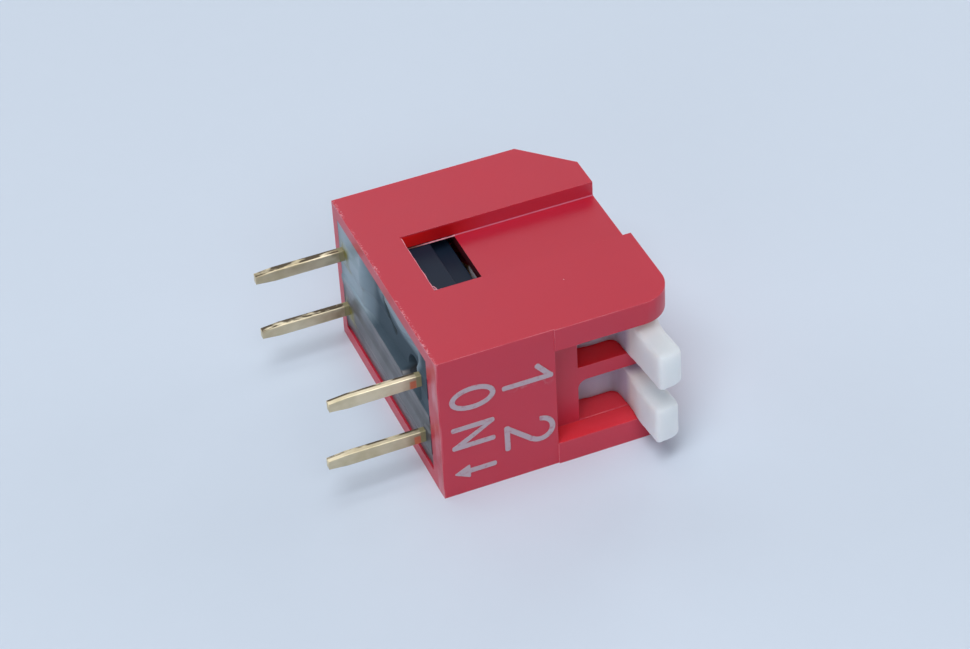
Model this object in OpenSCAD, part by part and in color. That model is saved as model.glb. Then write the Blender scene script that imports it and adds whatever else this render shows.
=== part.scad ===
// Two-way DIP switch with side levers, lying on one end face as a loose switch comes to rest.
// +X leads away from the circuit board, so the pins point along -X. The levers stick out
// along -Y. +Z runs along the row, with way 1 on top. The origin lies under the middle of the
// whole switch, pins and levers counted, in the plane of the end face that it lies on.
// Inside the modules, heights run along X from the face that sits on the board, depths run
// along Y from the front face, and rows run along Z from the lower end face.

/* [Housing] */
// Length of the housing along the row of levers
row_l = 6.1; // [6:0.05:7.5]
// Depth of the housing from its front face to its back
body_d = 10.1; // [10:0.1:12]
// Height of the housing above the board
body_h = 8.9; // [8.6:0.1:10]
// Leg of the sloped edge between the top and the back
slope_leg = 1.75; // [0.5:0.05:2]
// Radius of the upper front corner of each cheek
cheek_r = 1.2; // [0.2:0.05:1.3]
// Height of the plain front face below the recess
front_h = 4.34; // [3.8:0.02:5]
// Depth of the recess between the cheeks
recess_d = 0.77; // [0.5:0.01:0.9]
// Thickness of each cheek beside the recess
cheek_t = 0.94; // [0.7:0.02:0.96]
// Radius of the upper inner corner of each cheek
cheek_top_r = 0.32; // [0.1:0.02:0.5]
// How far the cheeks stand in front of the plain face below them
cheek_step = 0.05; // [0.02:0.01:0.1]
// Thickness of the lip under each lever slot
lip_t = 0.76; // [0.6:0.02:0.9]
// Thickness of the roof over the levers
roof_t = 0.4; // [0.3:0.05:0.5]
// How far the roof's front edge stands back behind the lips
roof_back = 0.5; // [0.3:0.05:0.55]
// Width of the cell that holds each lever
cell_w = 1.78; // [1.7:0.02:1.9]
// Thickness of the wall between the cells
divider_t = 0.6; // [0.5:0.05:0.7]
// Thickness of the wall behind the cells
cell_back_t = 0.9; // [0.6:0.05:1.2]
// Thickness of the wall under the sloped edge
slope_wall = 0.6; // [0.4:0.05:0.8]
// Radius in the lower upper-side corner of each slot
slot_r = 0.35; // [0.1:0.05:0.5]

/* [Skirt] */
// Height of the wide hollow that takes the base
skirt_h = 3.48; // [3.4:0.02:3.6]
// Thickness of the skirt's end walls
skirt_t = 0.55; // [0.45:0.05:0.65]
// Room between the front row of pins and the skirt's front wall
front_room = 0.6; // [0.5:0.05:0.8]
// Room between the back row of pins and the skirt's back wall
back_room = 0.48; // [0.4:0.02:0.6]

/* [End grooves] */
// Width of the groove in each end face
groove_w = 3.3; // [2.5:0.1:4]
// Depth of the groove in each end face
groove_d = 0.6; // [0.58:0.01:0.68]
// Height at which the window under the groove begins
window_h = 1.46; // [1.2:0.02:1.8]

/* [Pins] */
// Distance between the pins of one row
pin_pitch = 2.54; // [2.44:0.02:2.6]
// Distance between the two rows of pins
row_gap = 7.62; // [7.5:0.02:7.66]
// How far the rows are set back, as a share of the depth left over beside them
rows_back = 0.25; // [0.1:0.05:0.3]
// Length of the pins below the board face
pin_l = 3.4; // [2.5:0.1:4]
// How much further the front pin of way 2 reaches
pin_past = 0.22; // [0:0.02:0.3]
// Width of the pins along the row
pin_w = 0.5; // [0.4:0.02:0.56]
// Thickness of the terminal strip
strip_t = 0.25; // [0.2:0.01:0.3]
// Length of the narrowed end of each pin
taper_l = 0.7; // [0.3:0.05:1]
// Width of the pins at their very end
tip_w = 0.36; // [0.2:0.02:0.4]

/* [Levers] */
// Width of each lever
lever_w = 1.5; // [1.4:0.02:1.6]
// How far the levers stick out of the front face
lever_out = 1.6; // [1:0.05:2.5]
// Thickness of each lever's arm
arm_t = 1.06; // [0.9:0.02:1.1]
// Upward slope of the arms when they are off, in degrees
arm_rise = 4.2; // [2:0.1:6]
// Height of the arm's lower face over the pivot, taken square to the face
arm_lift = 0.4; // [0.3:0.02:0.5]
// Turn of a lever from off to on, in degrees
lever_turn = 21; // [18:0.5:22]
// Radius of the hub around the pivot
hub_r = 1.6; // [1.2:0.05:1.65]
// Radius of the rounded nose that works the contact spring
nose_r = 0.4; // [0.3:0.02:0.45]
// Radius of the pivot stubs inside the housing
stub_r = 0.55; // [0.4:0.05:0.6]
// Length of each pivot stub
stub_l = 0.45; // [0.35:0.05:0.6]

/* [Base and contacts] */
// How far the sealing resin lies inside the rim of the skirt
seal_in = 0.1; // [0.08:0.01:0.2]
// Thickness of the sealing resin
seal_t = 0.6; // [0.5:0.05:0.8]
// Height of the base's top around the wells
base_h = 2.55; // [2.5:0.05:2.8]
// Length of the base's corner posts, along its depth
post_d = 1; // [0.8:0.05:1.2]
// Thickness of the base's corner posts
post_w = 0.45; // [0.3:0.05:0.5]
// Width of the wells in the base
well_w = 1.1; // [1:0.05:1.2]
// How far the terminals' inner arms lie below the base's top
arm_in = 0.15; // [0.1:0.01:0.25]
// Width of the terminals' inner arms
inner_arm_w = 0.8; // [0.7:0.05:0.9]
// Width of the contact springs
spring_w = 0.7; // [0.5:0.05:0.75]
// Thickness of the contact springs
spring_t = 0.12; // [0.08:0.01:0.14]
// Degrees that a lever turns for each degree that its spring bends
spring_gearing = 6; // [6:0.5:7]
// Radius of the moving contacts
tip_r = 0.25; // [0.2:0.01:0.3]
// Thickness of the moving contacts
tip_t = 0.15; // [0.1:0.01:0.16]
// Radius of the fixed contacts
pad_r = 0.32; // [0.25:0.01:0.38]
// Thickness of the fixed contacts
pad_t = 0.19; // [0.1:0.01:0.25]
// Height left for the contact springs between the base's top and the levers
spring_room_h = 0.95; // [0.9:0.01:1.05]

/* [Legend] */
// Height of the letters of the word on the front
letter_h = 1.7; // [1.2:0.05:1.8]
// Height of the digits on the front
digit_h = 1.9; // [1.4:0.05:2]
// Width of the printed strokes
stroke_w = 0.2; // [0.15:0.01:0.3]
// Height of the word's lower edge above the board face
word_h = 0.4; // [0.25:0.05:0.5]
// Gap between the word and the digits above it
line_gap = 0.24; // [0.15:0.01:0.3]
// Thickness of the ink
ink_t = 0.02; // [0.01:0.005:0.03]

/* [Fits] */
// Gap between a lever and the wall that it lies on
side_gap = 0.04; // [0.03:0.01:0.08]
// Gap between a lever's hub and the lip in front of it
hub_gap = 0.1; // [0.06:0.01:0.15]
// Gap between an arm that is off and the roof
roof_gap = 0.1; // [0.06:0.01:0.15]
// Gap between an arm that is on and the lip below it
lip_gap = 0.15; // [0.1:0.01:0.2]
// Running gap between a pivot stub and its lever
pivot_gap = 0.05; // [0.03:0.01:0.1]
// Gap between a lever and the rail of the base below it
rail_gap = 0.15; // [0.1:0.01:0.2]
// Gap on each side of a contact spring in its lever
room_gap = 0.07; // [0.05:0.01:0.1]
// Gap between a lever's nose and the contact spring
nose_gap = 0.09; // [0.08:0.01:0.12]
// Gap between a contact spring and the terminal that it lies on
seat_gap = 0.015; // [0.01:0.005:0.03]
// Gap that is left between closed contacts
contact_gap = 0.04; // [0.03:0.005:0.06]
// Gap between the base and the skirt
base_gap = 0.08; // [0.05:0.01:0.1]
// Gap around a terminal in the base
slot_gap = 0.02; // [0.01:0.005:0.04]

/* [Hidden] */
$fn = 64;
past = 1;  // how far a cutting body reaches beyond the face that it cuts

// rows along Z; way 1 is the upper one
function side(way) = way == 1 ? 1 : -1;
function cell_mid(way) = row_l/2 + side(way)*(divider_t + cell_w)/2;
function cell_low(way) = cell_mid(way) - cell_w/2;
function lever_low(way) = cell_low(way) + side_gap;
function pin_mid(way) = row_l/2 + side(way)*pin_pitch/2;

// depths along Y
beside_rows = (body_d - row_gap)/2;
front_row = beside_rows*(1 + rows_back);
back_row = front_row + row_gap;
skirt_front_t = front_row - front_room;
skirt_back_t = body_d - back_row - back_room;
pivot_d = front_row + row_gap/2;
cell_front = recess_d + lip_t;
cell_back = body_d - cell_back_t;
knuckle_r = pivot_d - cell_front - hub_gap;
recess_reach = pivot_d - recess_d;
knuckle_end = -32;  // lower end of the arc that closes the slot, in degrees above forward

// heights along X
roof_h = body_h - roof_t;
pivot_h = roof_h - roof_gap - recess_reach*tan(arm_rise) - (arm_lift + arm_t)/cos(arm_rise);
turned = lever_turn - arm_rise;
slot_h = pivot_h + (arm_lift - recess_reach*sin(turned))/cos(turned) - lip_gap;
nose_h = base_h + spring_room_h;
nose_reach = pivot_h - nose_h - nose_r;
arm_h = base_h - arm_in;
pad_top = arm_h + pad_t;
seal_top = seal_in + seal_t;
rail_h = nose_h - rail_gap;

// contact spring: the ramp under the nose falls as fast as the nose moves along it
bend = lever_turn/spring_gearing;
hinge_in = 3;     // how far the spring's hinge lies before the pivot
ramp_before = 0.5;   // how far the ramp reaches before and past the nose's travel
ramp_past = 0.35;
tip_in = 0.9;     // length of the spring's flat end
tip_back = 1.15;  // how far it ends before the back row of pins
hinge_d = pivot_d - hinge_in;
hinge_h = arm_h + seat_gap + spring_t/2;
swing = nose_reach*sin(lever_turn/2);
ramp_a = atan(tan(bend)*(hinge_in + swing)/(2*swing));
nose_off_h = pivot_h - nose_reach*cos(lever_turn/2);
ramp_drop = (nose_r + nose_gap + spring_t/2)/cos(ramp_a);
function ramp(d) = [nose_off_h - ramp_drop + (d - pivot_d + swing)*tan(ramp_a), d];
ramp_start = ramp(pivot_d - swing - ramp_before);
crest = ramp(pivot_d + swing + ramp_past);
spring_end = back_row - tip_back;
tip_d = spring_end - tip_in/2;
tip_low = pad_top + contact_gap + (tip_d - hinge_d + tip_r)*sin(bend);
spring_end_h = tip_low + tip_t + spring_t/2;

module placed()
    translate([-(body_h - pin_l - pin_past)/2, -(body_d - lever_out)/2, 0]) children();

// ---- plane helpers: a point is [height, depth] ----
// a direction around the pivot, in degrees above straight forward
function around(r, a) = [r*sin(a), -r*cos(a)];

module wedge(from, to) {
    reach = 3*knuckle_r;
    polygon([[0, 0], around(reach, from), around(reach, (from + to)/2), around(reach, to)]);
}

module link(p, q, t) {
    v = q - p;
    translate(p) rotate(atan2(v.y, v.x)) translate([0, -t/2]) square([norm(v), t]);
    translate(q) circle(d = t);
}

module chain(points, t)
    for (i = [1:len(points) - 1]) link(points[i - 1], points[i], t);

module rounded(points, r) {
    polygon(points);
    chain(concat(points, [points[0]]), 2*r);
}

// ---- housing ----
module side_shape() {
    difference() {
        polygon([[0, 0], [front_h, 0], [front_h, -cheek_step], [body_h, -cheek_step],
                 [body_h, body_d - slope_leg], [body_h - slope_leg, body_d], [0, body_d]]);
        translate([body_h - cheek_r, -past]) square([cheek_r + past, cheek_r - cheek_step + past]);
    }
    translate([body_h - cheek_r, cheek_r - cheek_step]) circle(cheek_r);
}

module cell_shape() {
    slope_sum = body_h + body_d - slope_leg - slope_wall*sqrt(2);
    polygon([[skirt_h - past, cell_front], [roof_h, cell_front], [roof_h, slope_sum - roof_h],
             [slope_sum - cell_back, cell_back], [skirt_h - past, cell_back]]);
}

// the recess between the cheeks, drawn as [height, row]
module recess_shape() {
    top_low = cheek_t - cheek_top_r;
    top_high = row_l - top_low;
    translate([front_h, cheek_t]) square([body_h, row_l - 2*cheek_t]);
    difference() {
        translate([body_h - cheek_top_r, top_low])
            square([past + cheek_top_r, top_high - top_low]);
        for (row = [top_low, top_high]) translate([body_h - cheek_top_r, row]) circle(cheek_top_r);
    }
}

module slot_shape() {
    tall = roof_h - slot_h;
    difference() {
        square([tall, cell_w]);
        translate([0, cell_w - slot_r]) square(slot_r);
    }
    intersection() {
        translate([slot_r, cell_w - slot_r]) circle(slot_r);
        square([tall, cell_w]);
    }
}

module end_cuts() {
    translate([skirt_h, pivot_d - groove_w/2, -past]) cube([body_h, groove_w, past + groove_d]);
    translate([window_h, pivot_d - groove_w/2, -past])
        cube([skirt_h - window_h + past/10, groove_w, past + groove_d + skirt_t/10]);
}

module housing() placed() color("#c03a48") {
    difference() {
        linear_extrude(row_l) side_shape();
        translate([0, recess_d, 0])
            rotate([90, 0, 0]) linear_extrude(recess_d + past) recess_shape();
        translate([0, recess_d + roof_back, 0])
            rotate([90, 0, 0]) linear_extrude(recess_d + roof_back + past) intersection() {
                recess_shape();
                translate([roof_h, 0]) square([body_h, row_l]);
            }
        translate([-past, skirt_front_t, skirt_t])
            cube([past + skirt_h, body_d - skirt_front_t - skirt_back_t, row_l - 2*skirt_t]);
        for (way = [1, 2]) {
            translate([0, 0, cell_low(way)]) linear_extrude(cell_w) cell_shape();
            translate([slot_h, cell_front + past/10, cell_low(way)])
                rotate([90, 0, 0]) linear_extrude(cell_front) slot_shape();
        }
        end_cuts();
        translate([0, 0, row_l]) mirror([0, 0, 1]) end_cuts();
    }
    for (way = [1, 2], z = [cell_low(way), cell_low(way) + cell_w - stub_l])
        translate([pivot_h, pivot_d, z]) cylinder(r = stub_r, h = stub_l);
}

// ---- base, terminals and resin ----
base_front = skirt_front_t + base_gap;
base_back = body_d - skirt_back_t - base_gap;
base_low = skirt_t + base_gap;

module stem(way, row, gap, from, to)
    translate([from, row - strip_t/2 - gap, pin_mid(way) - pin_w/2 - gap])
        cube([to - from, strip_t + 2*gap, pin_w + 2*gap]);

module base() placed() color("#2c3a48") {
    rail_clear = 0.05;
    rail_front = front_row + post_d;
    floor_h = arm_h - strip_t;
    difference() {
        union() {
            translate([seal_top, base_front, base_low])
                cube([base_h - seal_top, base_back - base_front, row_l - 2*base_low]);
            for (way = [1, 2])
                translate([seal_top, rail_front, cell_low(way) + rail_clear])
                    cube([rail_h - seal_top, row_gap - 2*post_d, cell_w - 2*rail_clear]);
            for (d = [base_front, base_back - post_d], z = [base_low, row_l - base_low - post_w])
                translate([seal_top, d, z]) cube([skirt_h - seal_top, post_d, post_w]);
        }
        for (way = [1, 2]) {
            translate([floor_h, front_row - strip_t/2 - slot_gap, cell_mid(way) - well_w/2])
                cube([body_h, row_gap + strip_t + 2*slot_gap, well_w]);
            for (row = [front_row, back_row]) stem(way, row, slot_gap, 0, base_h);
        }
    }
}

module seal() placed() color("#50646f") {
    mound_t = 0.08;       // the resin creeps up each pin
    mound_rim = 0.06;
    mound_foot = 0.22;
    hollow_t = 0.12;      // shallow hollow over the upper half of the base
    hollow_r = 0.25;
    hollow_front = front_row + 0.7;
    hollow_back = back_row - 1.9;
    hollow_low = row_l/2 + 0.15;
    hollow_high = row_l - skirt_t - 0.45;
    hole_r = 0.3;         // vent left in the hollow's corner
    hole_from = 1.95;
    hole_floor = 0.1;
    difference() {
        union() {
            translate([seal_in, skirt_front_t, skirt_t])
                cube([seal_t, body_d - skirt_front_t - skirt_back_t, row_l - 2*skirt_t]);
            for (way = [1, 2], row = [front_row, back_row])
                translate([seal_in - mound_t, row, pin_mid(way)]) rotate([0, 90, 0])
                    cylinder(r1 = pin_w/2 + mound_rim, r2 = pin_w/2 + mound_foot,
                             h = mound_t + seal_t/2);
        }
        translate([-past, 0, 0]) rotate([90, 0, 90]) linear_extrude(past + seal_in + hollow_t)
            rounded([[front_row + hole_from, hollow_low], [hollow_back, hollow_low],
                     [hollow_back - 0.7, hollow_high - 0.5], [hollow_back - 1.8, hollow_high],
                     [hollow_front, hollow_high], [hollow_front, pin_mid(1) - pin_w/2]],
                    hollow_r);
        translate([-past, front_row + hole_from, row_l/2 + 0.08]) rotate([0, 90, 0])
            cylinder(r = hole_r, h = past + seal_top - hole_floor);
        for (way = [1, 2], row = [front_row, back_row]) stem(way, row, 0, -past, body_h);
    }
}

module pin(way, row, length) {
    shoulder = taper_l - length;
    translate([0, row + strip_t/2, pin_mid(way)]) rotate([90, 0, 0]) linear_extrude(strip_t)
        polygon([[-length, -tip_w/2], [shoulder, -pin_w/2], [arm_h, -pin_w/2],
                 [arm_h, pin_w/2], [shoulder, pin_w/2], [-length, tip_w/2]]);
}

module inner_arm(way, front, back)
    translate([arm_h - strip_t, front, cell_mid(way) - inner_arm_w/2])
        cube([strip_t, back - front, inner_arm_w]);

module contact_terminal(way) placed() color("#c9b98a") {
    pin(way, front_row, way == 2 ? pin_l + pin_past : pin_l);
    inner_arm(way, front_row - strip_t/2, hinge_d);
}

module common_terminal(way) placed() color("#c9b98a") {
    arm_past = 0.1;  // how far the arm reaches past the fixed contact
    pin(way, back_row, pin_l);
    inner_arm(way, tip_d - pad_r - arm_past, back_row + strip_t/2);
}

module fixed_contact(way) placed() color("#d8d8d4")
    translate([arm_h, tip_d, cell_mid(way)]) rotate([0, 90, 0])
        cylinder(r = pad_r, h = pad_top - arm_h);

// ---- contact springs, drawn as they stand when the levers are off ----
module contact_spring(way) placed() color("#b98a4a")
    translate([0, 0, cell_mid(way) - spring_w/2]) linear_extrude(spring_w) {
        chain([[hinge_h, front_row], [hinge_h, hinge_d], ramp_start, crest,
               [spring_end_h, spring_end - tip_in], [spring_end_h, spring_end]], spring_t);
    }

module spring_tip(way) placed() color("#d8d8d4")
    translate([tip_low, tip_d, cell_mid(way)]) rotate([0, 90, 0])
        cylinder(r = tip_r, h = tip_t);

// ---- levers, drawn in the off position around their pivot ----
module arm_shape() {
    arm_top = arm_lift + arm_t;
    tip_top_r = 0.8*arm_t;
    tip_low_r = 0.12;
    throat_r = 0.3;
    arm_l = tip_low_r + (pivot_d + lever_out - tip_low_r
                         + (arm_lift + tip_low_r)*sin(arm_rise))/cos(arm_rise);
    throat = [arm_lift - throat_r,
              -sqrt((knuckle_r + throat_r)^2 - (arm_lift - throat_r)^2)];
    rotate(arm_rise) {
        difference() {
            polygon([[0, 0], [arm_lift, -hub_r], [arm_lift, -arm_l], [arm_top, -arm_l],
                     [arm_top, 0]]);
            translate([arm_top - tip_top_r, -arm_l - past]) square(past + tip_top_r);
            translate([arm_lift - past, -arm_l - past]) square(past + tip_low_r);
        }
        intersection() {
            translate([arm_top - tip_top_r, tip_top_r - arm_l]) circle(tip_top_r);
            translate([arm_top - tip_top_r, -arm_l]) square(tip_top_r);
        }
        translate([arm_lift + tip_low_r, tip_low_r - arm_l]) circle(tip_low_r);
        difference() {
            polygon([[0, 0], throat*knuckle_r/(knuckle_r + throat_r), throat,
                     [arm_lift, throat.y], [arm_lift, 0]]);
            translate(throat) circle(throat_r);
        }
    }
}

module lever_shape() {
    over_arm = 6;  // carries the knuckle's arc into the arm, in degrees
    circle(hub_r);
    intersection() {
        circle(knuckle_r);
        wedge(knuckle_end, arm_rise + over_arm);
    }
    intersection() {
        circle(pivot_h - nose_h);
        wedge(-90 - lever_turn/2, knuckle_end);
    }
    arm_shape();
}

module spring_space() {
    room_back = 1.8*lever_turn;  // how far past straight down the room opens, in degrees
    difference() {
        wedge(-90 - room_back, knuckle_end);
        circle(nose_reach - nose_r);
    }
}

module nose_shape() {
    nose = around(nose_reach, lever_turn/2 - 90);
    link([0, 0], nose, 2*nose_r);
}

module lever(way) placed() color("#dfe4e4") {
    nose_in = 0.03;  // how far the nose is let into the walls of the spring's room
    room_w = spring_w + 2*room_gap;
    translate([pivot_h, pivot_d, 0]) difference() {
        union() {
            difference() {
                translate([0, 0, lever_low(way)]) linear_extrude(lever_w) lever_shape();
                translate([0, 0, cell_mid(way) - room_w/2]) linear_extrude(room_w) spring_space();
            }
            translate([0, 0, cell_mid(way) - room_w/2 - nose_in])
                linear_extrude(room_w + 2*nose_in) nose_shape();
        }
        translate([0, 0, -past]) cylinder(r = stub_r + pivot_gap, h = row_l + 2*past);
    }
}

// ---- legend, drawn on the front face as [height, row] ----
module printed() placed() color("#b3a9b3") rotate([90, 0, 0]) linear_extrude(ink_t) children();

module stroke(p, q) {
    v = q - p;
    translate(p) rotate(atan2(v.y, v.x)) translate([0, -stroke_w/2]) square([norm(v), stroke_w]);
}

function oval(high, wide) = [for (a = [0:10:350]) [high/2*sin(a), wide/2*cos(a)]];

// rows of the marks, counted from the middle of the housing
o_off = 0.69*letter_h;
n_off = -0.29*letter_h;
arrow_off = -1.235*letter_h;
digit_1_off = pin_pitch/2 - 0.08*digit_h;
digit_2_off = 0.05*digit_h - pin_pitch/2;

module mark_on() printed() {
    letter_w = 0.6*letter_h;
    mid = word_h + letter_h/2;
    o_row = row_l/2 + o_off;
    n_row = row_l/2 + n_off;
    n_leg = letter_w/2 - stroke_w/2;
    translate([mid, o_row]) difference() {
        polygon(oval(letter_h, letter_w));
        polygon(oval(letter_h - 2*stroke_w, letter_w - 2*stroke_w));
    }
    translate([word_h, n_row]) {
        for (s = [-1, 1]) stroke([0, s*n_leg], [letter_h, s*n_leg]);
        intersection() {
            stroke([stroke_w/2, -n_leg], [letter_h - stroke_w/2, n_leg]);
            translate([0, -letter_w/2]) square([letter_h, letter_w]);
        }
    }
}

module mark_arrow() printed() {
    head = 0.36*letter_h;
    arrow_l = 0.94*letter_h;
    translate([word_h, row_l/2 + arrow_off])
        polygon([[0, 0], [head, -head/2], [head, -stroke_w/2], [arrow_l, -stroke_w/2],
                 [arrow_l, stroke_w/2], [head, stroke_w/2], [head, head/2]]);
}

digit_base = word_h + letter_h + line_gap;

module mark_1() printed() {
    flag = 0.33*digit_h;
    top = digit_base + digit_h;
    row = row_l/2 + digit_1_off;
    stroke([digit_base, row], [top, row]);
    stroke([top - stroke_w/2, row], [top - flag, row + flag]);
}

module mark_2() printed() {
    bowl = 0.295*digit_h;
    bowl_h = digit_base + digit_h - bowl;
    row = row_l/2 + digit_2_off;
    lean = [bowl_h - bowl*sin(30), row - bowl*cos(30) + stroke_w/2];
    translate([bowl_h, row]) difference() {
        circle(bowl);
        circle(bowl - stroke_w);
        polygon([[0, 0], [-bowl*2, bowl*3], [-bowl*2, -bowl*cos(30)*2]]);
    }
    stroke([digit_base + stroke_w/2, row - bowl], [digit_base + stroke_w/2, row + bowl]);
    stroke([digit_base + stroke_w/2, row + bowl - stroke_w/2], lean);
}

module lever_1() lever(1);
module lever_2() lever(2);
module contact_terminal_1() contact_terminal(1);
module contact_terminal_2() contact_terminal(2);
module common_terminal_1() common_terminal(1);
module common_terminal_2() common_terminal(2);
module contact_spring_1() contact_spring(1);
module contact_spring_2() contact_spring(2);
module spring_tip_1() spring_tip(1);
module spring_tip_2() spring_tip(2);
module fixed_contact_1() fixed_contact(1);
module fixed_contact_2() fixed_contact(2);

housing();
base();
seal();
lever_1();
lever_2();
contact_terminal_1();
contact_terminal_2();
common_terminal_1();
common_terminal_2();
contact_spring_1();
contact_spring_2();
spring_tip_1();
spring_tip_2();
fixed_contact_1();
fixed_contact_2();
mark_on();
mark_arrow();
mark_1();
mark_2();
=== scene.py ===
import math
import bpy
import bmesh
from mathutils import Euler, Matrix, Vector, noise


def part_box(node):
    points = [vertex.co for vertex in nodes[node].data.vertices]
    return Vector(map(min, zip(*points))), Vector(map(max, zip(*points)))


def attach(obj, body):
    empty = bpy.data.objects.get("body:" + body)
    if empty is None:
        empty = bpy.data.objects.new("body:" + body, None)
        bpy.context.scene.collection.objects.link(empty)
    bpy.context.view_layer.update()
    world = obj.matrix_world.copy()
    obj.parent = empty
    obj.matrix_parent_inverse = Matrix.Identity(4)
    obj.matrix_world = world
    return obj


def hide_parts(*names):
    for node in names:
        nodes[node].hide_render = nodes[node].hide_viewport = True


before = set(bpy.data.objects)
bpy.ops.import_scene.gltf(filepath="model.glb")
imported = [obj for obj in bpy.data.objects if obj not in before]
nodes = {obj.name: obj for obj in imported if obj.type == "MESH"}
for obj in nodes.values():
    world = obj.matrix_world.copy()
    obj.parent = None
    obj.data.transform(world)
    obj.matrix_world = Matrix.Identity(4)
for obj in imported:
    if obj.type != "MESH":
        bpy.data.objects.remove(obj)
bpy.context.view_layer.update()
mm = 0.001

working = {
    "merge": 0.0008,       # corners this close are one, in mm
    "flat": 0.6,           # faces that turn less than this are one, in degrees
    "sharp": 28,           # edges that turn more than this can be rounded
    "shortest": 0.002,     # edges shorter than this in mm stay as they are
    "smooth": 40,          # shading breaks at edges that turn more than this
}


def say(stage):
    print("stage:", stage)


def selectOnly(thing):
    bpy.ops.object.select_all(action="DESELECT")
    thing.select_set(True)
    bpy.context.view_layer.objects.active = thing


def editAll(piece):
    selectOnly(piece)
    bpy.ops.object.mode_set(mode="EDIT")
    bpy.ops.mesh.select_all(action="SELECT")


def boxOf(node):
    # lowest and highest corner of a CAD node, in mm
    low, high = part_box(node)
    return low / mm, high / mm


def cleanMesh(piece):
    # joined corners, and each flat face in one piece
    editAll(piece)
    bpy.ops.mesh.remove_doubles(threshold=working["merge"] * mm)
    bpy.ops.mesh.dissolve_limited(angle_limit=math.radians(working["flat"]))
    bpy.ops.object.mode_set(mode="OBJECT")


def copyNode(node, name):
    piece = bpy.data.objects.new(name, nodes[node].data.copy())
    piece.data.name = name
    piece.data.materials.clear()
    bpy.context.scene.collection.objects.link(piece)
    cleanMesh(piece)
    return piece


def edgeFacts(edge):
    # how far it turns, its middle in mm, its direction, and whether it is hollow
    turn = edge.calc_face_angle_signed(0)
    a, b = (v.co / mm for v in edge.verts)
    return math.degrees(abs(turn)), ((a + b) / 2, (b - a).normalized(), turn < 0)


def roundChosen(piece, rule, width, steps, sharp=working["sharp"], clamp=True):
    # a round of its own size on the sharp edges that the rule picks
    selectOnly(piece)
    bpy.ops.object.mode_set(mode="EDIT")
    bpy.ops.mesh.select_mode(type="EDGE")
    bpy.ops.mesh.select_all(action="DESELECT")
    mesh = bmesh.from_edit_mesh(piece.data)
    for edge in mesh.edges:
        if len(edge.link_faces) != 2:
            continue
        turn, facts = edgeFacts(edge)
        if turn > sharp and rule(*facts):
            edge.select_set(True)
    bmesh.update_edit_mesh(piece.data)
    bpy.ops.mesh.bevel(offset=width * mm, segments=steps, clamp_overlap=clamp)
    bpy.ops.mesh.select_mode(type="VERT")
    bpy.ops.object.mode_set(mode="OBJECT")


def weighEdges(piece, rule):
    # the rule gives each sharp edge its share of the bevel
    mesh = bmesh.new()
    mesh.from_mesh(piece.data)
    weights = mesh.edges.layers.float.new("bevel_weight_edge")
    for edge in mesh.edges:
        if len(edge.link_faces) != 2 or edge.calc_length() < working["shortest"] * mm:
            continue
        turn, facts = edgeFacts(edge)
        if turn >= working["sharp"]:
            edge[weights] = rule(*facts)
    mesh.to_mesh(piece.data)
    mesh.free()


def applyModifier(piece, kind, **settings):
    selectOnly(piece)
    bpy.ops.object.modifier_add(type=kind)
    modifier = piece.modifiers[-1]
    for key, value in settings.items():
        setattr(modifier, key, value)
    bpy.ops.object.modifier_apply(modifier=modifier.name)


def smoothShade(piece, angle=working["smooth"]):
    selectOnly(piece)
    bpy.ops.object.shade_smooth_by_angle(angle=math.radians(angle))


def roundEdges(piece, width, steps):
    # a second material, where there is one, goes on the rounds
    applyModifier(
        piece, "BEVEL", limit_method="WEIGHT", width=width * mm, segments=steps,
        material=1 if len(piece.data.materials) > 1 else -1,
        use_clamp_overlap=True, miter_outer="MITER_ARC",
    )
    smoothShade(piece)
    applyModifier(piece, "WEIGHTED_NORMAL", keep_sharp=True)


def faceOutward(piece):
    editAll(piece)
    bpy.ops.mesh.normals_make_consistent(inside=False)
    bpy.ops.object.mode_set(mode="OBJECT")


def place(piece, body, slot, *replaced):
    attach(piece, body)
    if replaced:
        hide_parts(*replaced)


def near(value, target, slack=0.004):
    return abs(value - target) < slack


def smoothStep(value, low, high):
    # 0 at low and 1 at high, or the other way round where low is the greater
    t = min(max((value - low) / (high - low), 0), 1)
    return t * t * (3 - 2 * t)


def newMaterial(name):
    material = bpy.data.materials.new(name)
    material.use_nodes = True
    tree = material.node_tree
    tree.nodes.clear()
    out = tree.nodes.new("ShaderNodeOutputMaterial")
    shader = tree.nodes.new("ShaderNodeBsdfPrincipled")
    tree.links.new(shader.outputs["BSDF"], out.inputs["Surface"])
    return material, tree, shader


def addNode(tree, kind, **settings):
    made = tree.nodes.new("ShaderNode" + kind)
    for key, value in settings.items():
        if key in made.inputs.keys():
            made.inputs[key].default_value = value
        else:
            setattr(made, key, value)
    return made


def wire(tree, a, b):
    tree.links.new(a, b)


def feed(tree, socket, value):
    if isinstance(value, bpy.types.NodeSocket):
        wire(tree, value, socket)
    else:
        socket.default_value = value


def mixColour(tree, factor, first, second):
    mix = tree.nodes.new("ShaderNodeMix")
    mix.data_type = "RGBA"
    for value, at in ((factor, 0), (first, 6), (second, 7)):
        feed(tree, mix.inputs[at], value)
    return mix.outputs[2]


def maths(tree, operation, first, second=0.0, clamp=False):
    node = tree.nodes.new("ShaderNodeMath")
    node.operation = operation
    node.use_clamp = clamp
    feed(tree, node.inputs[0], first)
    feed(tree, node.inputs[1], second)
    return node.outputs[0]


def overlap(tree, first, *others):
    for other in others:
        first = maths(tree, "MULTIPLY", first, other)
    return first


def either(tree, first, *others):
    for other in others:
        first = maths(tree, "MAXIMUM", first, other)
    return first


def stretchRange(tree, value, low, high, toLow=0.0, toHigh=1.0):
    node = tree.nodes.new("ShaderNodeMapRange")
    wire(tree, value, node.inputs[0])
    for at, number in enumerate((low, high, toLow, toHigh), 1):
        node.inputs[at].default_value = number
    return node.outputs[0]


def fade(tree, value, low, high, toLow=0.0, toHigh=1.0):
    # stretchRange for a place in mm
    return stretchRange(tree, value, low * mm, high * mm, toLow, toHigh)


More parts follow.
